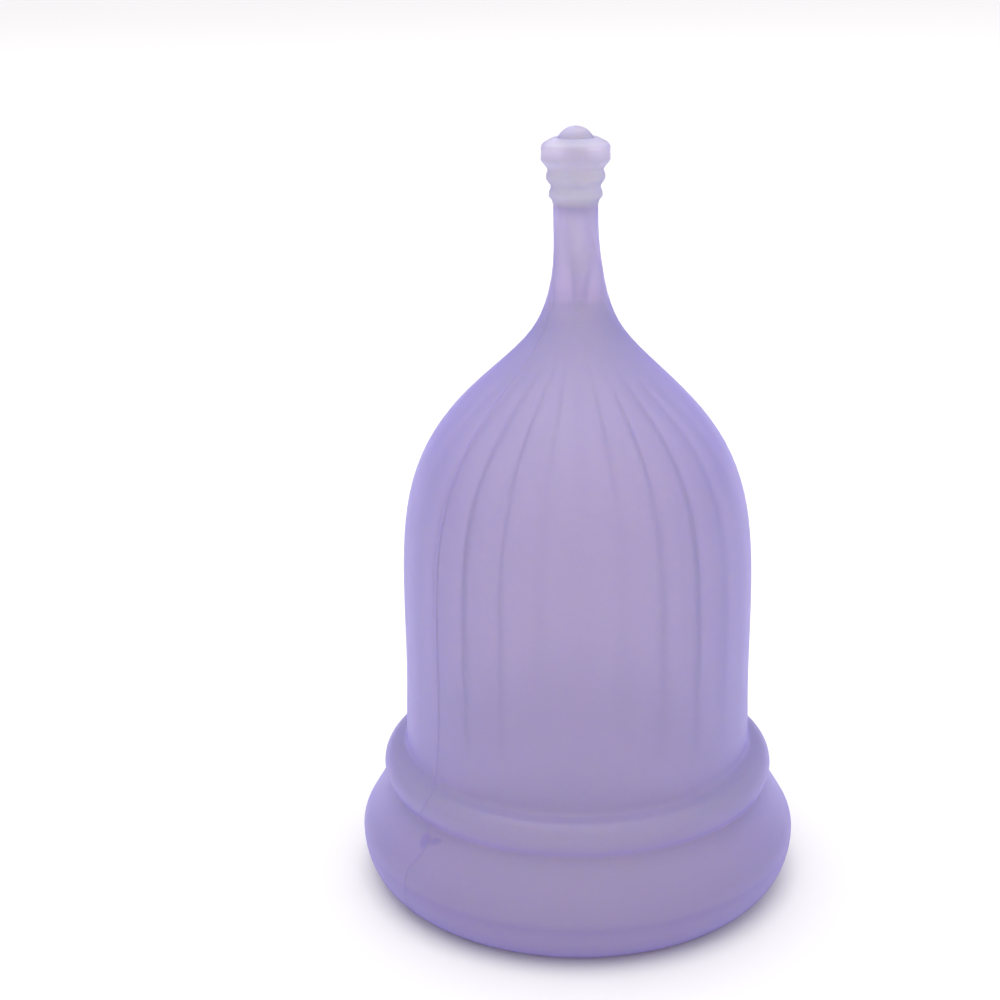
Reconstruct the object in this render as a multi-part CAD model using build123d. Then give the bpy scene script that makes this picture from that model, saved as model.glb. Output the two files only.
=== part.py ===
"""Soft silicone suction cup with a check valve at the end of its hollow stem.

Three pieces: the cup moulding, the valve head bonded on the stem's end, and the mushroom plug
that lifts off the head's seat. Millimetres, +Z up, the cup stands on its rim, and the origin is
the centre of the rim's resting face. Every piece is round about the Z axis, so each outline is
drawn once as radius and height, and then turned.
"""
import os

from build123d import *

# Rim: a fat rolled bead that the cup stands on
RIM_R = 22.5            # widest radius of the whole cup
RIM_Z = 4.86            # height of that widest point
RIM_NOSE = 3.1          # radial half width of the bead's elliptical underside
LAND_WIDTH = 0.5        # flat ring that rests on the table
LIP_R = 0.9             # rounding from the land into the mouth
SHOULDER_R = 2.6        # rounding above the widest point
SHOULDER_ANGLE = 31.0   # slope of the conical shoulder, from vertical

# Second bead, above the rim
BEAD_R = 2.0            # radius of its round section
BEAD_CENTRE = (18.05, 11.95)

FOOT_R = 17.7           # radius of the bell's foot
FOOT_FILLET = 0.8       # hollow rounding between the bead and the bell's foot
HOLLOW_ACROSS = FOOT_R + FOOT_FILLET - BEAD_CENTRE[0]
HOLLOW_UP = ((BEAD_R + FOOT_FILLET) ** 2 - HOLLOW_ACROSS**2) ** 0.5

# Bell, neck and stem, outside: radius and height at the places where the curve turns
BELL_OUTSIDE = [
    (FOOT_R, BEAD_CENTRE[1] + HOLLOW_UP),
    (17.6, 20.0),
    (17.6, 31.0),
    (17.4, 36.1),
    (16.75, 40.6),
    (15.0, 45.4),
    (11.6, 50.1),
    (7.0, 54.5),
    (4.05, 57.9),
    (2.8, 61.1),
    (2.3, 64.1),
    (2.14, 67.5),
]
STEM_R = BELL_OUTSIDE[-1][0]
STEM_TOP = 69.25

# Bell inside: the wall is about 2 mm, and thickens to 4 mm behind the two beads
MOUTH_R = 18.0
BELL_INSIDE = [
    (MOUTH_R, LIP_R),
    (17.7, 5.0),
    (16.8, 9.8),
    (15.9, 14.5),
    (15.6, 19.5),
    (15.6, 31.0),
    (15.4, 35.9),
    (14.8, 40.1),
    (13.15, 44.5),
    (10.0, 48.7),
    (5.5, 52.9),
    (2.65, 56.2),
    (1.9, 58.4),
]
CAVITY_TOP = 59.8       # domed end of the bell's hollow
DOME_MID = (1.45, 59.35)
THROAT_R = 0.5          # narrow passage from the bell's hollow to the bore
THROAT_TOP = 60.9
BORE_R = 1.15           # air passage along the stem
BORE_NARROWS = 65.0     # from here down to the throat it tapers

# Ribs along the inside of the bell: each starts and ends inside the wall, so its ends fade out
RIB_COUNT = 24
RIB_HEIGHT = 0.35       # how far a rib stands into the hollow
RIB_ROOT = 0.8          # how deep its root lies in the wall
RIB_ANGLE = 4.0         # width of one rib, in degrees about the axis
RIB_FIRST = 2.0         # azimuth of the first rib from the -Y direction, in degrees
RIB_FOOT = (16.2, 17.0)
RIB_TIP = (3.5, 56.4)
RIB_WALL = BELL_INSIDE[5:11]

# Valve head: stepped tip with a seat flange and two grip rings
RING_GROOVE_R = 2.38
RING_LOW_R, RING_LOW_Z = 2.56, 70.3
RING_HIGH_R, RING_HIGH_Z = 2.8, 71.95
FLANGE_GROOVE_R, FLANGE_GROOVE_Z = 2.66, 72.6
FLANGE_R = 3.3
FLANGE_WAIST_R = 3.26
FLANGE_LOW_Z, FLANGE_HIGH_Z = 73.7, 74.6
SEAT_TOP = 75.62
SEAT_FLOOR = 75.05      # the plug's head lies on this face
SEAT_CONE_R = 3.0       # where the flange's conical top meets its rounded edge
SEAT_CONE_Z = 75.15
CHAMBER_R = 1.7
CHAMBER_FLOOR = 70.0
CHAMBER_ROOF = 73.6
SPIGOT_R = 1.1          # short tube of the head inside the stem's bore
SPIGOT_BORE_R = 0.7
SPIGOT_LENGTH = 0.8

# Valve plug: mushroom head on the seat, neck through the aperture, bulb in the chamber
PLUG_R = 1.68
PLUG_TOP = 76.66
PLUG_GAP = 0.04         # clearance under the mushroom head
PLUG_SIDE_GAP = 0.08    # clearance round the mushroom head
NECK_R = 0.6
APERTURE_R = 0.85
TRAVEL = 1.1            # how far the plug lifts
STOP_GAP = 0.05         # clearance left at the end of the lift
BULB_R = 1.2
BULB_LENGTH = 1.9


def turned(edges):
    """Solid of revolution about Z from a closed outline in radius and height."""
    return revolve(Plane.XZ * make_face(edges), Axis.Z)


def polyline(points):
    """Straight edges from point to point."""
    return [Line(start, end) for start, end in zip(points, points[1:])]


def shoulder_and_bead():
    """Edges from the rim's widest point over the shoulder and round the second bead."""
    centre = Vector(RIM_R - SHOULDER_R, RIM_Z)
    rounding = CenterArc(centre, SHOULDER_R, 0, SHOULDER_ANGLE)
    cone_start = rounding @ 1
    cone_way = rounding % 1
    bead_centre = Vector(*BEAD_CENTRE)
    # the conical shoulder runs up to the bead's round section, where the two make a groove
    to_start = cone_start - bead_centre
    along = to_start.dot(cone_way)
    away = to_start.dot(to_start) - BEAD_R**2
    groove = cone_start + cone_way * (-along - (along**2 - away) ** 0.5)
    bead_out = bead_centre + Vector(BEAD_R, 0)
    # the hollow rounding touches the bead's section and the foot of the bell
    to_hollow = Vector(HOLLOW_ACROSS, HOLLOW_UP)
    hollow_centre = bead_centre + to_hollow
    bead_top = bead_centre + to_hollow * (BEAD_R / (BEAD_R + FOOT_FILLET))
    bell_foot = Vector(*BELL_OUTSIDE[0])
    halfway = (bead_top + bell_foot) / 2 - hollow_centre
    return [
        rounding,
        Line(cone_start, groove),
        ThreePointArc(groove, bead_out, bead_top),
        ThreePointArc(bead_top, hollow_centre + halfway.normalized() * FOOT_FILLET, bell_foot),
    ]


def cup_body():
    """Bell with double rim, inner ribs, neck and hollow stem, in one moulding."""
    land_out = RIM_R - RIM_NOSE
    land_in = land_out - LAND_WIDTH
    outside = [
        Line((land_in, 0), (land_out, 0)),
        EllipticalCenterArc((land_out, RIM_Z), RIM_NOSE, RIM_Z, start_angle=-90, arc_size=90),
        *shoulder_and_bead(),
        Spline(BELL_OUTSIDE, tangents=[(0, 1), (0, 1)]),
        Line(BELL_OUTSIDE[-1], (STEM_R, STEM_TOP)),
    ]
    inside = [
        Line((STEM_R, STEM_TOP), (BORE_R, STEM_TOP)),
        Line((BORE_R, STEM_TOP), (BORE_R, BORE_NARROWS)),
        Line((BORE_R, BORE_NARROWS), (THROAT_R, THROAT_TOP)),
        Line((THROAT_R, THROAT_TOP), (THROAT_R, CAVITY_TOP)),
        ThreePointArc((THROAT_R, CAVITY_TOP), DOME_MID, BELL_INSIDE[-1]),
        Spline(BELL_INSIDE, tangents=[(-0.1, 1), (-0.1, 1)]),
        Line((MOUTH_R, LIP_R), (MOUTH_R + LIP_R * 0.3, LIP_R * 0.3)),
        Line((MOUTH_R + LIP_R * 0.3, LIP_R * 0.3), (land_in, 0)),
    ]
    body = turned(outside + inside)
    for rib in ribs():
        body = body + rib
    return body


def ribs():
    """Low ribs on the inside of the bell, evenly spaced about the axis."""
    wall = [Vector(r, z) for r, z in RIB_WALL]
    crest = [Vector(*RIB_FOOT)]
    root = [Vector(*RIB_FOOT)]
    curve = Spline(wall, tangents=[(0, 1), (-1, 1)])
    for share in (0.2, 0.4, 0.6, 0.8, 1.0):
        outward = (curve % share).rotate(Axis.Z, -90)
        crest.append(curve @ share - outward * RIB_HEIGHT)
        root.append(curve @ share + outward * RIB_ROOT)
    crest.append(Vector(*RIB_TIP))
    root.append(Vector(*RIB_TIP))
    section = Plane.XZ * make_face([Spline(crest), Spline(root)])
    first = revolve(section, Axis.Z, revolution_arc=RIB_ANGLE)
    start = -90 + RIB_FIRST - RIB_ANGLE / 2
    return [first.rotate(Axis.Z, start + 360 / RIB_COUNT * i) for i in range(RIB_COUNT)]


def valve_head():
    """Stepped tip: spigot, two grip rings, seat flange, and the valve chamber inside."""
    outside = [
        (SPIGOT_BORE_R, STEM_TOP - SPIGOT_LENGTH),
        (SPIGOT_R, STEM_TOP - SPIGOT_LENGTH),
        (SPIGOT_R, STEM_TOP),
        (STEM_R, STEM_TOP),
        (STEM_R + 0.1, RING_LOW_Z - 0.55),
        (RING_LOW_R, RING_LOW_Z - 0.2),
        (RING_LOW_R, RING_LOW_Z + 0.2),
        (RING_GROOVE_R, RING_LOW_Z + 0.6),
        (RING_GROOVE_R, RING_LOW_Z + 0.85),
        (RING_HIGH_R, RING_HIGH_Z - 0.2),
        (RING_HIGH_R, RING_HIGH_Z + 0.2),
        (FLANGE_GROOVE_R, FLANGE_GROOVE_Z - 0.1),
        (FLANGE_GROOVE_R, FLANGE_GROOVE_Z + 0.1),
        (FLANGE_R, FLANGE_LOW_Z - 0.2),
        (FLANGE_R, FLANGE_LOW_Z + 0.1),
        (FLANGE_WAIST_R, (FLANGE_LOW_Z + FLANGE_HIGH_Z) / 2),
        (FLANGE_R, FLANGE_HIGH_Z),
        (FLANGE_R - 0.08, FLANGE_HIGH_Z + 0.3),
        (SEAT_CONE_R, SEAT_CONE_Z),
        (PLUG_R + 0.4, SEAT_TOP),
        (PLUG_R + PLUG_SIDE_GAP, SEAT_TOP),
    ]
    inside = [
        (PLUG_R + PLUG_SIDE_GAP, SEAT_FLOOR),
        (APERTURE_R, SEAT_FLOOR),
        (APERTURE_R, CHAMBER_ROOF),
        (CHAMBER_R, CHAMBER_ROOF),
        (CHAMBER_R, CHAMBER_FLOOR),
        (SPIGOT_BORE_R, CHAMBER_FLOOR),
    ]
    return turned(polyline(outside + inside + outside[:1]))


def valve_plug():
    """Mushroom plug: domed head, neck, and the bulb that stops the lift."""
    head_under = SEAT_FLOOR + PLUG_GAP
    head_rim = SEAT_TOP
    dome_height = PLUG_TOP - head_rim
    dome_r = (PLUG_R**2 + dome_height**2) / (2 * dome_height)
    dome_mid = Vector(dome_r * 0.5, PLUG_TOP - dome_r * (1 - 0.75**0.5))
    bulb_top = CHAMBER_ROOF - TRAVEL - STOP_GAP
    bulb_wide = bulb_top - 0.4
    bulb_end = bulb_top - BULB_LENGTH
    outline = [
        Line((0, bulb_end), (0, PLUG_TOP)),
        ThreePointArc((0, PLUG_TOP), dome_mid, (PLUG_R, head_rim)),
        *polyline([
            (PLUG_R, head_rim),
            (PLUG_R, head_under),
            (NECK_R, head_under),
            (NECK_R, bulb_top),
            (BULB_R - 0.2, bulb_top),
            (BULB_R, bulb_wide),
        ]),
        Spline([(BULB_R, bulb_wide), (0, bulb_end)], tangents=[(0, -1), (-1, 0)]),
    ]
    return turned(outline)


PARTS = {
    "cup_body": cup_body,
    "valve_head": valve_head,
    "valve_plug": valve_plug,
}

os.makedirs("parts", exist_ok=True)
for name, make in PARTS.items():
    export_step(make(), f"parts/{name}.step")
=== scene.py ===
"""Soft translucent silicone suction cup with a valve stem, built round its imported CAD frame.

The cup moulding, the valve head and the valve plug are turned meshes with rounded outlines.
Outlines are radius and height in millimetres, and the meshes are in metres. An azimuth is the
angle about Z in degrees, 0 at the front (-Y) and 90 at the right (+X).
"""
import math

import bmesh
import bpy
import numpy as np
from mathutils import Euler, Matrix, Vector


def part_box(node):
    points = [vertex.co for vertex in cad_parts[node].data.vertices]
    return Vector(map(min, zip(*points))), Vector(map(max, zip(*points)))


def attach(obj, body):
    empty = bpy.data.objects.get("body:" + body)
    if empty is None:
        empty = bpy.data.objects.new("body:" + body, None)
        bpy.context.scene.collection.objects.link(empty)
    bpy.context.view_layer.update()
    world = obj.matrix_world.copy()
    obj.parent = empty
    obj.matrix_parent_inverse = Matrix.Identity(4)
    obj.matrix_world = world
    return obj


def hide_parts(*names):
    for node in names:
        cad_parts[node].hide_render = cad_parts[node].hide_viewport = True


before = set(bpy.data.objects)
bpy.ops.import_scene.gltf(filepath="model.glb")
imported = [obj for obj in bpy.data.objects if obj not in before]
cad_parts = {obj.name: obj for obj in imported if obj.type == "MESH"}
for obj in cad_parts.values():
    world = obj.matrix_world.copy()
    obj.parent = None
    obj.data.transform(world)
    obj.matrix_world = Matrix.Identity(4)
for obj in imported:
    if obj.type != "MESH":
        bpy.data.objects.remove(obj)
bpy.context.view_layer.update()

MM = 0.001

# Sizes that the frame gives, in millimetres
CUP_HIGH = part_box("cup_body")[1] / MM
HEAD_LOW, HEAD_HIGH = (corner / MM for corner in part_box("valve_head"))
PLUG_LOW, PLUG_HIGH = (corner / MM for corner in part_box("valve_plug"))
RIM_R = CUP_HIGH.x
STEM_TOP = CUP_HIGH.z
SEAT_TOP = HEAD_HIGH.z
FLANGE_R = HEAD_HIGH.x
PLUG_R = PLUG_HIGH.x
PLUG_TOP = PLUG_HIGH.z

# Cup outline
RIM_Z = 4.86                   # height of the rim's widest point
RIM_NOSE = 3.1                 # radial half width of the rim's elliptical underside
LAND_WIDTH = 0.5               # flat ring that rests on the floor
LIP_R = 0.9                    # rounding from the land into the mouth
SHOULDER_R = 2.6               # rounding above the widest point
SHOULDER_ANGLE = 31.0          # slope of the conical shoulder, from vertical
BEAD_R = 2.0                   # second bead's round section
BEAD_CENTRE = (18.05, 11.95)
GROOVE = (19.53, 10.6)         # where the shoulder meets the second bead
FOOT_R = 17.7                  # the bell's foot
FOOT_FILLET = 0.8              # hollow rounding between the bead and the foot
HOLLOW_ACROSS = FOOT_R + FOOT_FILLET - BEAD_CENTRE[0]
HOLLOW_UP = math.sqrt((BEAD_R + FOOT_FILLET) ** 2 - HOLLOW_ACROSS**2)
BELL_OUTSIDE = [
    (FOOT_R, BEAD_CENTRE[1] + HOLLOW_UP), (17.6, 20.0), (17.6, 31.0), (17.4, 36.1),
    (16.75, 40.6), (15.0, 45.4), (11.6, 50.1), (7.0, 54.5), (4.05, 57.9), (2.8, 61.1),
    (2.3, 64.1), (2.14, 67.5),
]
STEM_R = BELL_OUTSIDE[-1][0]
MOUTH_R = 18.0
BELL_INSIDE = [
    (MOUTH_R, LIP_R), (17.7, 5.0), (16.8, 9.8), (15.9, 14.5), (15.6, 19.5), (15.6, 31.0),
    (15.4, 35.9), (14.8, 40.1), (13.15, 44.5), (10.0, 48.7), (5.5, 52.9), (2.65, 56.2),
    (1.9, 58.4),
]
WALL_R = BELL_INSIDE[5][0]
CAVITY_TOP = 59.8              # domed end of the bell's hollow
DOME_MID = (1.45, 59.35)
DOME_LOW, DOME_R = 50.0, 2.6   # the dome is above this height and inside this radius
ROOF = 12.0                    # what faces down this near to the hollow's top is in the hollow
THROAT_R = 0.5                 # narrow passage from the hollow to the stem's bore
THROAT_TOP = 60.9
BORE_R = 1.15
BORE_NARROWS = 65.0            # from here down to the throat it tapers
CUP_ROUNDING = 0.15            # softness of the moulding's corners
LAND_EDGE = 0.3                # the resting face ends below this height
TOUCH = 0.1                    # a point this near to a surface counts as on it

# The stem's end stays square, so that the head sits flush on it
STEM_END = 0.35                # distance from the end in which its corners are put back
STEM_END_SKIN = 1.9            # outside this radius they belong to the skin
STEM_END_BORE = 1.4            # and inside this one to the bore

# Bends of the soft cup: sideways, and where each fades in and out along the height
SWAY = 0.1
SWAY_IN, SWAY_OUT = (12, 24), (48, 60)
STEM_LEAN = 0.19               # how far the neck stands to the right of the axis
LEAN_IN, LEAN_OUT = (50, 57), (62, 68.5)
BORE_OFF = 0.25                # how far the bore stands to the right of the neck
BORE_OFF_IN, BORE_OFF_OUT = (59, 62), (65.5, 67.5)

# Ribs on the inner wall
RIB_COUNT = 24
RIB_FIRST = 2.0                # azimuth of the first rib
RIB_HEIGHT = 0.3
RIB_LOWEST = 0.3               # share of its height that a rib keeps where the bell is narrow
RIB_FULL_R = 9.0               # radius from which it has its whole height
RIB_WIDTH = 0.65               # half width of its round section, where the bell is widest
RIB_IN, RIB_OUT = (15.5, 20.5), (54.0, 57.5)
RIB_SHADE = 0.14                # depth, azimuth and half width of the painted shade beside its crest
RIB_SHADE_AT = 1.2
RIB_SHADE_WIDTH = 0.8

# Where the mould's halves met: height and azimuth. The line runs again on the opposite side.
PARTING_LINE = [
    (0.0, -50.0), (6.5, -48.5), (8.5, -45.8), (9.4, -45.2), (10.6, -48.5), (11.5, -50.0),
    (12.5, -48.2), (13.6, -47.6), (14.3, -51.5), (20.0, -50.3), (60.0, -48.5),
]
PARTING_HEIGHT = 0.06
PARTING_WIDTH = 0.13
PARTING_SHADE = 0.3
PARTING_OUT = (57, 62)

# The mould gate's mark: a round blob with a flatter one beside it, on the rim's slope
GATE_AT = (-45.2, 9.3)         # azimuth and height
GATE_TILT = 0.3                # rise of the mark per millimetre to the right
GATE_BLOBS = [(-0.5, 0.82, 0.75), (0.65, 0.95, 0.36)]    # place across, half width, half height
GATE_EDGE = (0.6, 1.15)        # shares of its half size between which a blob fades out
GATE_HEIGHT = 0.08
GATE_SHADE = 0.52

# Painted light and shade by height, partly the deeper tint of thick silicone at the rim and neck.
# Above 0 it is so much deeper than the cloud's tint, and below 0 so much paler.
OUTSIDE_LIGHT_AND_SHADE = [
    (5.5, 0.14), (9.5, 0.0), (53.0, 0.0), (57.5, -0.4), (60.0, -0.4), (60.8, 0.1), (62.0, 0.1),
    (65.0, -0.9), (69.0, -1.0),
]
# painted light: the stem's bore and the top of the hollow are paler above these heights
BORE_PAINTED_LIGHT = (61.5, 64)
DOME_PAINTED_LIGHT = (57.4, 58.6)
# painted light near the bonded foot and round the plug's seam, painted shade towards the flange
HEAD_LIGHT_AND_SHADE = [
    (69.6, -0.7), (70.3, -0.4), (72.7, -0.35), (73.5, 0.2), (75.0, 0.25), (75.2, -0.5),
]
# painted light round the plug's seam
PLUG_LIGHT_AND_SHADE = [(75.1, -0.8), (75.4, -0.5), (75.8, 0.25)]
BAND_SHADE = 0.28              # a faint band of painted shade round the rim
BAND_Z = 4.1
BAND_WIDTH = 0.5

# Valve head and plug outlines
BOND = 0.02                    # the head's foot is sunk this far into the stem, as a bond is
SEAT_GAP = 0.03                # clearance round the plug's head
HEAD_ROUNDING = 0.055
HEAD_OUTSIDE = [
    (STEM_R - 0.01, STEM_TOP), (STEM_R + 0.1, 69.75), (2.56, 70.1), (2.56, 70.5), (2.38, 70.9),
    (2.38, 71.15), (2.8, 71.75), (2.8, 72.15), (2.66, 72.5), (2.66, 72.7), (FLANGE_R, 73.5),
    (FLANGE_R, 73.8), (FLANGE_R - 0.04, 74.15), (FLANGE_R, 74.6), (FLANGE_R - 0.08, 74.9),
    (3.0, 75.15), (PLUG_R + 0.4, SEAT_TOP), (PLUG_R + SEAT_GAP, SEAT_TOP),
]
HEAD_INSIDE = [
    (PLUG_R + SEAT_GAP, 75.05), (0.85, 75.05), (0.85, 73.6), (1.7, 73.6), (1.7, 70.0),
    (0.7, 70.0), (0.7, HEAD_LOW.z), (BORE_R + BOND, HEAD_LOW.z), (BORE_R + BOND, STEM_TOP),
]
PLUG_ROUNDING = 0.035
PLUG_OUTLINE = [
    (PLUG_R, SEAT_TOP), (PLUG_R, 75.09), (0.6, 75.09), (0.6, 72.45), (1.0, 72.45), (1.2, 72.05),
    (1.2, 71.7), (1.0, 71.1), (0.6, 70.7), (0.0, PLUG_LOW.z),
]

# Meshes: rows follow the outline, and columns go round
CUP_SPACING = 0.05             # of the points that an outline is softened with
VALVE_SPACING = 0.02
CUP_TURN, HEAD_TURN, PLUG_TURN = 5.5, 7, 6     # degrees of turn that call for a new row
LEAST_STEP = 0.08              # rows are no closer than this
CUP_ROW, HEAD_ROW, PLUG_ROW = 1.3, 0.4, 0.3    # and no further apart than this
GATE_ROW = 0.25                # near the gate's mark
GATE_ROWS = (6.5, 10.5)        # heights of those rows
GATE_ROWS_R = 19.0             # and the radius that they are outside of
GATE_COLUMNS = (-53.0, -40.0, 0.2)             # azimuths of the close columns, and their step
COLUMN_GAP = 0.12              # a rib's column this near to a close one is left out
RIB_COLUMNS = [                # azimuths of a rib's columns, from its middle
    -6.0, -4.5, -3.3, -2.4, -1.6, -0.8, -0.1, 0.5, 1.0, 1.5, 2.0, 2.6, 3.5, 5.0, 7.0,
]
HEAD_COLUMN, PLUG_COLUMN = 2.5, 3.0
SHARP_ANGLE = 50.0             # shaded as a corner above this: bonded ends and the valve's edges

# Silicone tints: the cloud's two colours, and the colour of light that has gone through
LILAC = ((0.94, 0.88, 0.93), (0.93, 0.87, 0.92), (0.74, 0.62, 0.81))
PALE = ((0.965, 0.91, 0.965), (0.955, 0.9, 0.955), (0.74, 0.66, 0.84))
DEEPEST_SHADE = (0.55, 0.52, 0.85)   # the colour of painted shade and of the darker marks, as shares of the cloud's second colour
# the colour of painted light
PAINTED_LIGHT_COLOUR = (1.0, 0.98, 0.92)
CLOUD_SCALE = 70
GRAIN_SCALE = 2600
GRAIN_STRENGTH = 0.12
GRAIN_DEPTH = 0.00004          # in metres
SATIN = (0.29, 0.37)           # roughness, which follows the cloud
FROSTED = 0.95                 # roughness where the most light is painted on
SILICONE = {
    "IOR": 1.41,
    "Specular IOR Level": 0.25,
    "Subsurface Weight": 1.0,
    "Subsurface Radius": (0.0035, 0.003, 0.002),
    "Subsurface Scale": 1.0,
    "Sheen Roughness": 0.85,
    "Sheen Tint": (0.32, 0.26, 0.95, 1),
}

# Floor, in metres: its colour near the cup and far away, and where the one turns into the other
FLOOR_NEAR = (0.9, 0.9, 0.9)
FLOOR_MOTTLED = 0.985          # share of the near colour that its mottle goes down to
FLOOR_MOTTLE_SCALE = 9
FLOOR_ROUGHNESS = 0.7
FLOOR_FAR = (1.0, 1.0, 1.0)
FLOOR_WHITENS = (0.4, 1.5)
FLOOR_HALF = 30.0
FLOOR_DROP = 0.00002           # it lies this far under the cup's resting face

# Light of the tent's walls and of its roof, and the soft box, in metres and watts
WALL_LIGHT = (0.385, 0.37, 0.54)
TOP_LIGHT = (1.04, 1.02, 1.0)
TENT_RISE = (-0.1, 0.75)       # sines of the elevations between which wall turns into roof
SOFT_BOX_AT = (-0.05, 0.1, 1.2)
SOFT_BOX_AIM = (0, 0, 0.03)
SOFT_BOX_SIZE = 1.2
SOFT_BOX_POWER = 7.5
BOUNCES = 24                   # enough for light to come out of the hollow walls again

# Camera, in metres and degrees
LENS_MM = 63.0
CAMERA_AWAY = 0.1667
CAMERA_UP = 0.0941
CAMERA_PITCH = 18.02
CAMERA_YAW = -2.62
CAMERA_ROLL = -0.9


# ---------------------------------------------------------------- outlines

def arc(centre, radii, start, end, spacing=0.1):
    """Points along an elliptical arc between two angles in degrees."""
    steps = max(4, int(abs(math.radians(end - start)) * max(radii) / spacing))
    angle = np.radians(np.linspace(start, end, steps))
    return np.stack([centre[0] + radii[0] * np.cos(angle), centre[1] + radii[1] * np.sin(angle)], 1)


def smooth_curve(points, start_way, end_way, spacing=0.1):
    """Points along the cubic spline through the given points, with the given end directions."""
    knots = np.array(points, float)
    gap = np.hypot(*np.diff(knots, axis=0).T)
    count = len(knots)
    matrix = np.zeros((count, count))
    right = np.zeros((count, 2))
    matrix[0, 0] = matrix[-1, -1] = 1
    right[0] = np.array(start_way) / np.hypot(*start_way)
    right[-1] = np.array(end_way) / np.hypot(*end_way)
    for i in range(1, count - 1):
        before, after = gap[i - 1], gap[i]
        matrix[i, i - 1 : i + 2] = (1 / before, 2 / before + 2 / after, 1 / after)
        rise, fall = knots[i] - knots[i - 1], knots[i + 1] - knots[i]
        right[i] = 3 * (rise / before**2 + fall / after**2)
    slopes = np.linalg.solve(matrix, right)
    pieces = []
    for i in range(count - 1):
        t = np.linspace(0, 1, max(3, int(gap[i] / spacing)), endpoint=False)[:, None]
        pieces.append(
            (2 * t**3 - 3 * t**2 + 1) * knots[i]
            + (t**3 - 2 * t**2 + t) * gap[i] * slopes[i]
            + (3 * t**2 - 2 * t**3) * knots[i + 1]
            + (t**3 - t**2) * gap[i] * slopes[i + 1]
        )
    return np.concatenate(pieces + [knots[-1:]])


def even(points, spacing):
    """The same line with evenly spaced points."""
    points = np.array(points, float)
    length = np.concatenate([[0], np.cumsum(np.hypot(*np.diff(points, axis=0).T))])
    where = np.linspace(0, length[-1], max(2, int(length[-1] / spacing)))
    return np.stack([np.interp(where, length, points[:, k]) for k in (0, 1)], 1)


def soften(points, radius, spacing, closed):
    """Rounds every corner of a line by about this radius, as moulded silicone has."""
    line = even(points, spacing)
    reach = int(3 * radius / spacing)
    weight = np.exp(-0.5 * (np.arange(-reach, reach + 1) * spacing / radius) ** 2)
    weight /= weight.sum()
    if closed:
        line = line[:-1]
        before, after = line[-reach:], line[:reach]
    else:
        before = 2 * line[0] - line[reach:0:-1]
        after = 2 * line[-1] - line[-2 : -reach - 2 : -1]
    padded = np.concatenate([before, line, after])
    return np.stack([np.convolve(padded[:, k], weight, mode="valid") for k in (0, 1)], 1)


def thin_out(points, turn, reach):
    """Keeps a point where the line has turned by so many degrees or run so many millimetres."""
    kept = [0]
    way = points[1] - points[0]
    for i in range(1, len(points) - 1):
        step = points[i + 1] - points[i]
        cross = way[0] * step[1] - way[1] * step[0]
        angle = abs(math.degrees(math.atan2(cross, way @ step)))
        run = np.hypot(*(points[i] - points[kept[-1]]))
        if angle >= turn and run > LEAST_STEP or run >= reach(points[i]):
            kept.append(i)
            way = step
    kept.append(len(points) - 1)
    return points[kept]


# ---------------------------------------------------------------- meshes

def turned(name, outline, azimuths, relief, closed=True):
    """Mesh of revolution about Z from an outline.

    The relief function gives, for each point, its lift along the normal, its move away from
    the axis and its shade, which the material reads as painted shade above 0 and painted light
    below 0.
    """
    ahead = np.roll(outline, -1, axis=0)
    behind = np.roll(outline, 1, axis=0)
    if not closed:
        ahead[-1] = outline[-1]
        behind[0] = outline[0]
    way = ahead - behind
    way /= np.hypot(*way.T)[:, None]
    normal = np.stack([way[:, 1], -way[:, 0]], 1)
    rows, columns = len(outline), len(azimuths)
    radius = np.repeat(outline[:, :1], columns, 1)
    height = np.repeat(outline[:, 1:], columns, 1)
    azimuth = np.repeat(azimuths[None], rows, 0)
    lift, sway, shade = relief(azimuth, radius, height, normal)
    radius = radius + lift * normal[:, :1] + sway
    height = height + lift * normal[:, 1:]
    angle = np.radians(azimuth - 90)
    co = np.stack([radius * np.cos(angle), radius * np.sin(angle), height], 2) * MM

    index = np.arange(rows * columns).reshape(rows, columns).tolist()
    on_axis = [np.all(ring < 1e-6) for ring in radius]
    faces = []
    for i in range(rows if closed else rows - 1):
        after = (i + 1) % rows
        a, b = index[i], index[after]
        for j in range(columns):
            k = (j + 1) % columns
            if on_axis[i]:
                faces.append((a[0], b[k], b[j]))
            elif on_axis[after]:
                faces.append((a[j], a[k], b[0]))
            else:
                faces.append((a[j], a[k], b[k], b[j]))

    mesh = bpy.data.meshes.new(name)
    mesh.from_pydata(co.reshape(-1, 3).tolist(), [], faces)
    attribute = mesh.attributes.new("shade", "FLOAT", "POINT")
    attribute.data.foreach_set("value", shade.ravel().astype(np.float32))
    mesh.polygons.foreach_set("use_smooth", [True] * len(mesh.polygons))
    mesh.update()
    mesh.set_sharp_from_angle(angle=math.radians(SHARP_ANGLE))
    piece = bpy.data.objects.new(name, mesh)
    bpy.context.scene.collection.objects.link(piece)
    remove_loose(piece)
    return piece


def remove_loose(piece):
    """Deletes the points that no face uses, which a pole leaves behind."""
    work = bmesh.new()
    work.from_mesh(piece.data)
    loose = [v for v in work.verts if not v.link_faces]
    bmesh.ops.delete(work, geom=loose, context="VERTS")
    work.to_mesh(piece.data)
    work.free()


def step_up(value, low, high):
    """0 below low, 1 above high, and a smooth rise between."""
    t = np.clip((value - low) / (high - low), 0, 1)
    return t * t * (3 - 2 * t)


def in_and_out(value, rise, fall):
    """0 before the rise, 1 between rise and fall, and 0 after the fall."""
    return step_up(value, *rise) * (1 - step_up(value, *fall))


def bump_at(distance, width):
    """A smooth bump of height 1, round distance 0."""
    return np.exp(-((distance / width) ** 2))


def off_azimuth(azimuth, target):
    """Signed angle from a target azimuth, in degrees."""
    return (azimuth - target + 180) % 360 - 180


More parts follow.
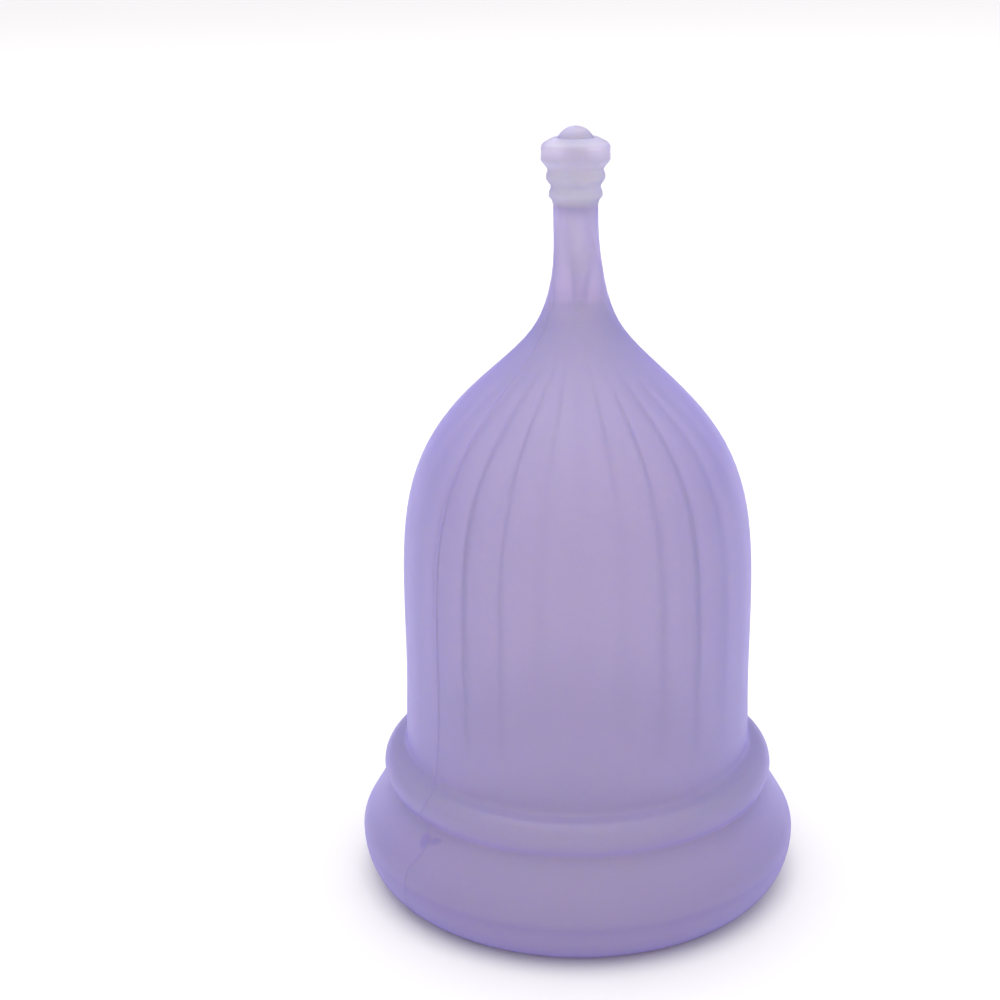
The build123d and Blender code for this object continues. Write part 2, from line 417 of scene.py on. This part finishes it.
def parting_lines(azimuth, radius, height):
    """1 on the two parting lines and 0 away from them."""
    line = np.interp(height, *np.transpose(PARTING_LINE))
    parting = np.zeros_like(height)
    for target in (line, line + 180):
        from_line = np.radians(off_azimuth(azimuth, target)) * radius
        parting = parting + bump_at(from_line, PARTING_WIDTH)
    return parting * (1 - step_up(height, *PARTING_OUT))


def gate_mark(azimuth, radius, height):
    """1 on the gate's mark and 0 away from it."""
    across = np.radians(off_azimuth(azimuth, GATE_AT[0])) * radius
    along = height - GATE_AT[1] - GATE_TILT * across
    mark = np.zeros_like(height)
    for place, half_width, half_height in GATE_BLOBS:
        from_blob = np.hypot((across - place) / half_width, along / half_height)
        mark = np.maximum(mark, 1 - step_up(from_blob, *GATE_EDGE))
    return mark


def cup_relief(azimuth, radius, height, normal):
    """Ribs on the inner wall, parting lines and the gate's mark outside, slight bends, and painted
    light and shade.
    """
    inner = (normal[:, :1] < 0) | (normal[:, 1:] < 0) & (height > CAVITY_TOP - ROOF)
    inner = inner & (height > LIP_R) & (height < CAVITY_TOP)
    inner = inner & (radius < MOUTH_R) & (radius > BORE_R)
    outer = ~inner & (height > LAND_EDGE) & (normal[:, :1] > 0)
    in_bore = (radius < BORE_R + TOUCH) & (height > CAVITY_TOP) & (height < STEM_TOP - 2 * TOUCH)
    dome = (radius < DOME_R) & ~in_bore & (height < CAVITY_TOP + TOUCH) & (height > DOME_LOW)

    pitch = 360 / RIB_COUNT
    from_rib = np.radians((azimuth - RIB_FIRST + pitch / 2) % pitch - pitch / 2)
    fade = in_and_out(height, RIB_IN, RIB_OUT)
    low_where_narrow = np.clip(radius / RIB_FULL_R, RIB_LOWEST, 1)
    ribs = RIB_HEIGHT * fade * low_where_narrow * bump_at(from_rib, RIB_WIDTH / WALL_R) * inner
    parting = parting_lines(azimuth, radius, height) * outer
    mark = gate_mark(azimuth, radius, height) * outer
    lift = ribs + PARTING_HEIGHT * parting + GATE_HEIGHT * mark

    # a fine dark line of painted shade runs beside each rib's crest, and painted light makes the
    # stem's bore and the hollow's dome paler than the cup; outside go painted light and shade by
    # height and a rim band
    crest_shade = bump_at(from_rib - math.radians(RIB_SHADE_AT), math.radians(RIB_SHADE_WIDTH))
    painted_light_inside = in_bore * step_up(height, *BORE_PAINTED_LIGHT) + dome * step_up(height, *DOME_PAINTED_LIGHT)
    band = BAND_SHADE * bump_at(height - BAND_Z, BAND_WIDTH)
    outside = (np.interp(height, *np.transpose(OUTSIDE_LIGHT_AND_SHADE)) + band) * outer
    marks = np.maximum(PARTING_SHADE * parting, GATE_SHADE * mark)
    shade = marks + outside + RIB_SHADE * fade * crest_shade * inner - painted_light_inside

    # the bell's unevenness: two waves round it, and three that turn with height
    around = np.radians(azimuth)
    waves = np.sin(2 * around + 0.6) + 0.5 * np.sin(3 * around + height / 9)
    to_right = STEM_LEAN * in_and_out(height, LEAN_IN, LEAN_OUT)
    to_right = to_right + BORE_OFF * in_and_out(height, BORE_OFF_IN, BORE_OFF_OUT) * in_bore
    sway = SWAY * in_and_out(height, SWAY_IN, SWAY_OUT) * waves + to_right * np.sin(around)
    return lift, sway, shade


def light_and_shade_by_height(table):
    """Relief function with no relief, and with painted light and shade that depend on height."""
    def relief(azimuth, radius, height, normal):
        flat = np.zeros_like(height)
        return flat, flat, np.interp(height, *np.transpose(table))

    return relief


def cup_azimuths():
    """Azimuths of the mesh's columns: close together on the ribs and at the parting lines."""
    middles = RIB_FIRST + np.arange(0, 360, 360 / RIB_COUNT)
    on_ribs = (middles[:, None] + np.array(RIB_COLUMNS)[None]).ravel()
    near = np.arange(*GATE_COLUMNS)
    close = np.concatenate([near, near + 180]) % 360
    gaps = np.abs(off_azimuth(on_ribs[:, None], close[None])).min(1)
    return np.sort(np.concatenate([on_ribs[gaps > COLUMN_GAP] % 360, close]))


def cup_row(point):
    """How far apart the cup's rows may be at this point of its outline."""
    near_gate = point[0] > GATE_ROWS_R and GATE_ROWS[0] < point[1] < GATE_ROWS[1]
    return GATE_ROW if near_gate else CUP_ROW


def make_cup():
    """The cup moulding: bell, double rim, inner ribs, neck and hollow stem."""
    land_out = RIM_R - RIM_NOSE
    land_in = land_out - LAND_WIDTH
    groove_angle = math.degrees(math.atan2(GROOVE[1] - BEAD_CENTRE[1], GROOVE[0] - BEAD_CENTRE[0]))
    bead_end = math.degrees(math.atan2(HOLLOW_UP, HOLLOW_ACROSS))
    hollow_centre = (FOOT_R + FOOT_FILLET, BELL_OUTSIDE[0][1])
    line = np.concatenate([
        [(land_in, 0)],
        arc((land_out, RIM_Z), (RIM_NOSE, RIM_Z), -90, 0),
        arc((RIM_R - SHOULDER_R, RIM_Z), (SHOULDER_R, SHOULDER_R), 0, SHOULDER_ANGLE),
        arc(BEAD_CENTRE, (BEAD_R, BEAD_R), groove_angle, bead_end),
        arc(hollow_centre, (FOOT_FILLET, FOOT_FILLET), 180 + bead_end, 180),
        smooth_curve(BELL_OUTSIDE, (0, 1), (0, 1)),
        [(STEM_R, STEM_TOP), (BORE_R, STEM_TOP), (BORE_R, BORE_NARROWS), (THROAT_R, THROAT_TOP)],
        smooth_curve([(THROAT_R, CAVITY_TOP), DOME_MID, BELL_INSIDE[-1]], (1, -0.1), (0.1, -1)),
        smooth_curve(BELL_INSIDE, (-0.1, 1), (-0.1, 1))[::-1],
        arc((land_in, LIP_R), (LIP_R, LIP_R), -180, -90),
    ])
    line = soften(line, CUP_ROUNDING, CUP_SPACING, closed=True)
    line[:, 1] = np.clip(line[:, 1], 0, STEM_TOP)
    end = np.abs(line[:, 1] - STEM_TOP) < STEM_END
    line[end & (line[:, 0] > STEM_END_SKIN), 0] = STEM_R
    line[end & (line[:, 0] < STEM_END_BORE), 0] = BORE_R
    line = thin_out(line, CUP_TURN, cup_row)
    return turned("silicone_cup", line, cup_azimuths(), cup_relief)


def make_head():
    """The stepped valve head with its chamber and seat."""
    outline = HEAD_OUTSIDE + HEAD_INSIDE + HEAD_OUTSIDE[:1]
    line = soften(outline, HEAD_ROUNDING, VALVE_SPACING, closed=True)
    foot = (np.abs(line[:, 1] - STEM_TOP) < TOUCH) & (line[:, 0] > BORE_R + TOUCH)
    line[foot, 1] = np.maximum(line[foot, 1], STEM_TOP) - BOND
    line[foot & (line[:, 0] > STEM_END_SKIN), 0] = HEAD_OUTSIDE[0][0]
    line[:, 1] = np.clip(line[:, 1], HEAD_LOW.z, SEAT_TOP)
    line = thin_out(line, HEAD_TURN, lambda point: HEAD_ROW)
    azimuths = np.arange(0, 360, HEAD_COLUMN)
    return turned("silicone_valve_head", line, azimuths, light_and_shade_by_height(HEAD_LIGHT_AND_SHADE))


def make_plug():
    """The mushroom plug: domed head, neck and bulb."""
    dome_height = PLUG_TOP - SEAT_TOP
    dome_r = (PLUG_R**2 + dome_height**2) / (2 * dome_height)
    edge = math.degrees(math.asin((dome_r - dome_height) / dome_r))
    dome = arc((0, PLUG_TOP - dome_r), (dome_r, dome_r), 90, edge, spacing=0.03)
    line = soften(np.concatenate([dome, PLUG_OUTLINE]), PLUG_ROUNDING, VALVE_SPACING, closed=False)
    line = thin_out(line, PLUG_TURN, lambda point: PLUG_ROW)[::-1]
    line[0, 0] = line[-1, 0] = 0
    azimuths = np.arange(0, 360, PLUG_COLUMN)
    return turned("silicone_valve_plug", line, azimuths, light_and_shade_by_height(PLUG_LIGHT_AND_SHADE), closed=False)


# ---------------------------------------------------------------- materials

def new_material(name):
    """A material with its nodes, links, shader and place on the object."""
    material = bpy.data.materials.new(name)
    material.use_nodes = True
    nodes, links = material.node_tree.nodes, material.node_tree.links
    place = nodes.new("ShaderNodeTexCoord").outputs["Object"]
    return material, nodes, links, nodes["Principled BSDF"], place


def noise(nodes, links, place, scale, detail=2.0):
    """The value of a noise texture at a place."""
    texture = nodes.new("ShaderNodeTexNoise")
    texture.inputs["Scale"].default_value = scale
    texture.inputs["Detail"].default_value = detail
    links.new(place, texture.inputs["Vector"])
    return texture.outputs["Fac"]


def colour_mix(nodes, links, factor, start, end):
    """A mix of two colours. The start is a colour or the output of another node."""
    mix = nodes.new("ShaderNodeMix")
    mix.data_type = "RGBA"
    if isinstance(start, tuple):
        mix.inputs["A"].default_value = (*start, 1)
    else:
        links.new(start, mix.inputs["A"])
    mix.inputs["B"].default_value = (*end, 1)
    links.new(factor, mix.inputs["Factor"])
    return mix.outputs["Result"]


def silicone(name, tints, density, clear, sheen):
    """Translucent silicone: cloudy tint with painted light and shade from the shade attribute, soft
    scattering below the skin, and a satin skin.
    """
    colour, deep, thick = tints
    material, nodes, links, shader, place = new_material(name)

    # the shade attribute paints shade above 0 and light below 0; the frosted skin follows the
    # painted light
    mark = nodes.new("ShaderNodeAttribute")
    mark.attribute_name = "shade"
    painted_light_share = nodes.new("ShaderNodeMath")
    painted_light_share.operation = "MULTIPLY"
    painted_light_share.inputs[1].default_value = -1
    links.new(mark.outputs["Fac"], painted_light_share.inputs[0])
    cloud = noise(nodes, links, place, CLOUD_SCALE, detail=3)
    tint = colour_mix(nodes, links, cloud, colour, deep)
    deepest_shade = tuple(value * share for value, share in zip(deep, DEEPEST_SHADE))
    tint = colour_mix(nodes, links, mark.outputs["Fac"], tint, deepest_shade)
    tint = colour_mix(nodes, links, painted_light_share.outputs["Value"], tint, PAINTED_LIGHT_COLOUR)
    links.new(tint, shader.inputs["Base Color"])

    skin = nodes.new("ShaderNodeMapRange")
    skin.inputs["To Min"].default_value = SATIN[0]
    skin.inputs["To Max"].default_value = SATIN[1]
    links.new(cloud, skin.inputs["Value"])
    frost = nodes.new("ShaderNodeMix")
    frost.inputs["B"].default_value = FROSTED
    links.new(skin.outputs["Result"], frost.inputs["A"])
    links.new(painted_light_share.outputs["Value"], frost.inputs["Factor"])
    links.new(frost.outputs["Result"], shader.inputs["Roughness"])

    bump = nodes.new("ShaderNodeBump")
    bump.inputs["Strength"].default_value = GRAIN_STRENGTH
    bump.inputs["Distance"].default_value = GRAIN_DEPTH
    links.new(noise(nodes, links, place, GRAIN_SCALE, detail=4), bump.inputs["Height"])
    links.new(bump.outputs["Normal"], shader.inputs["Normal"])

    depth = nodes.new("ShaderNodeVolumeAbsorption")
    depth.inputs["Color"].default_value = (*thick, 1)
    depth.inputs["Density"].default_value = density
    links.new(depth.outputs["Volume"], nodes["Material Output"].inputs["Volume"])

    shader.subsurface_method = "RANDOM_WALK"
    for socket, value in SILICONE.items():
        shader.inputs[socket].default_value = value
    shader.inputs["Transmission Weight"].default_value = clear
    shader.inputs["Sheen Weight"].default_value = sheen
    return material


def pale_floor():
    """Matte floor with a faint mottle, whiter far away, where the soft box gives less light."""
    material, nodes, links, shader, place = new_material("pale_floor")
    mottled = tuple(value * FLOOR_MOTTLED for value in FLOOR_NEAR)
    mottle = noise(nodes, links, place, FLOOR_MOTTLE_SCALE)
    near = colour_mix(nodes, links, mottle, FLOOR_NEAR, mottled)
    distance = nodes.new("ShaderNodeVectorMath")
    distance.operation = "LENGTH"
    links.new(place, distance.inputs[0])
    away = nodes.new("ShaderNodeMapRange")
    away.interpolation_type = "SMOOTHSTEP"
    away.inputs["From Min"].default_value = FLOOR_WHITENS[0]
    away.inputs["From Max"].default_value = FLOOR_WHITENS[1]
    links.new(distance.outputs["Value"], away.inputs["Value"])
    tone = colour_mix(nodes, links, away.outputs["Result"], near, FLOOR_FAR)
    links.new(tone, shader.inputs["Base Color"])
    shader.inputs["Roughness"].default_value = FLOOR_ROUGHNESS
    return material


# ---------------------------------------------------------------- studio

def make_floor():
    """A pale floor, far wider than the view."""
    mesh = bpy.data.meshes.new("floor")
    corners = [(x * FLOOR_HALF, y * FLOOR_HALF, 0) for x, y in ((-1, -1), (1, -1), (1, 1), (-1, 1))]
    mesh.from_pydata(corners, [], [(0, 1, 2, 3)])
    floor = bpy.data.objects.new("floor", mesh)
    floor.location.z = -FLOOR_DROP
    bpy.context.scene.collection.objects.link(floor)
    mesh.materials.append(pale_floor())


def make_tent():
    """A white tent of even light, with darker walls than roof."""
    world = bpy.data.worlds.new("tent")
    world.use_nodes = True
    bpy.context.scene.world = world
    nodes, links = world.node_tree.nodes, world.node_tree.links
    way = nodes.new("ShaderNodeTexCoord")
    split = nodes.new("ShaderNodeSeparateXYZ")
    links.new(way.outputs["Generated"], split.inputs["Vector"])
    height = nodes.new("ShaderNodeMapRange")
    height.interpolation_type = "SMOOTHSTEP"
    height.inputs["From Min"].default_value = TENT_RISE[0]
    height.inputs["From Max"].default_value = TENT_RISE[1]
    links.new(split.outputs["Z"], height.inputs["Value"])
    sky = colour_mix(nodes, links, height.outputs["Result"], WALL_LIGHT, TOP_LIGHT)
    links.new(sky, nodes["Background"].inputs["Color"])


def make_soft_box():
    """A large square soft box overhead, which faces the cup."""
    data = bpy.data.lights.new("overhead", "AREA")
    data.size = SOFT_BOX_SIZE
    data.energy = SOFT_BOX_POWER
    lamp = bpy.data.objects.new("overhead", data)
    lamp.location = SOFT_BOX_AT
    way = Vector(SOFT_BOX_AIM) - Vector(SOFT_BOX_AT)
    lamp.rotation_euler = way.to_track_quat("-Z", "Y").to_euler()
    bpy.context.scene.collection.objects.link(lamp)


def make_camera():
    """A long lens, looking a little down at the cup from the front."""
    data = bpy.data.cameras.new("camera")
    data.lens = LENS_MM
    data.sensor_width = 36
    data.clip_start = 0.01
    camera = bpy.data.objects.new("camera", data)
    camera.location = (0, -CAMERA_AWAY, CAMERA_UP)
    camera.rotation_mode = "XYZ"
    aim = Euler((math.radians(90 - CAMERA_PITCH), 0, math.radians(-CAMERA_YAW))).to_matrix()
    roll = Euler((0, 0, math.radians(CAMERA_ROLL))).to_matrix()
    camera.rotation_euler = (aim @ roll).to_euler()
    bpy.context.scene.collection.objects.link(camera)
    bpy.context.scene.camera = camera


make_camera()
make_tent()
make_soft_box()
make_floor()

cup = make_cup()
head = make_head()
plug = make_plug()
cup.data.materials.append(silicone("lilac_silicone", LILAC, density=400, clear=0.75, sheen=0.6))
head.data.materials.append(silicone("head_silicone", PALE, density=150, clear=0.6, sheen=0.3))
plug.data.materials.append(silicone("plug_silicone", PALE, density=150, clear=0.6, sheen=0.3))
for piece, body, node, slot in (
    (cup, "cup", "cup_body", "cup_silicone"),
    (head, "cup", "valve_head", "head_silicone"),
    (plug, "plug", "valve_plug", "plug_silicone"),
):
    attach(piece, body)
    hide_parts(node)

bpy.context.scene.view_settings.view_transform = "Standard"
bpy.context.scene.cycles.max_bounces = BOUNCES
bpy.context.scene.cycles.transmission_bounces = BOUNCES
